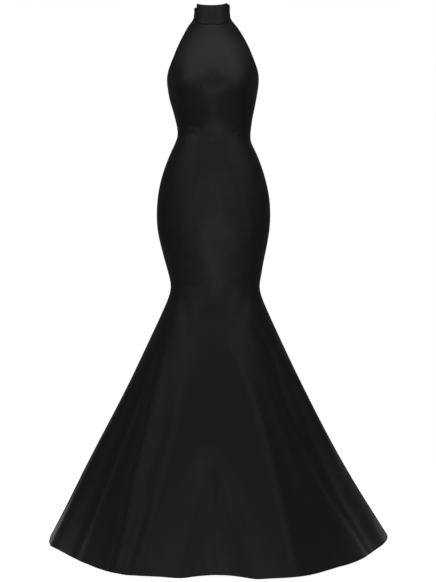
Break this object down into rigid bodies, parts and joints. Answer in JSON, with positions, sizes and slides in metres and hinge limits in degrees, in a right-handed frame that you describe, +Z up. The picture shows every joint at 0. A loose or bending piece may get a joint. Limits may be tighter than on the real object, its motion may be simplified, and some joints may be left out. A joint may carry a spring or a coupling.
{
  "type": "halter-neck mermaid evening gown",
  "caption": "Long fitted silk gown with a stand collar halter neck, bare low back and a skirt that flares from the knees to a wide soft-folded hem.",
  "frame": {"origin": "the middle of the neck inside the collar, at the height of the collar's seam at the side of the neck, where a wearer's neck holds the gown up", "axes": "+Z up the body, the front of the gown faces -Y, +X towards the wearer's left"},
  "size_m": [1.0538, 0.9982, 1.6377],
  "materials": {
    "silk": "black silk faille with a low soft sheen",
    "zip_cloth": "matt black woven zip tape",
    "black_metal": "satin black enamel"
  },
  "bodies": {
    "gown": {"front": "silk", "back_left": "silk", "back_right": "silk", "collar_front": "silk", "collar_band_left": "silk", "collar_band_right": "silk", "nape_button_upper": "silk", "nape_button_lower": "silk", "zip_tape": "zip_cloth", "zip_slider": "black_metal"},
    "pull_tab": {"zip_pull": "black_metal"}
  },
  "joints": [
    {"name": "pull_tab_hinge", "type": "hinge", "parent": "gown", "child": "pull_tab", "pos_m": [0.00455, 0.09058, -0.2999], "axis": [1, 0, 0], "range_deg": [0, 150]}
  ]
}
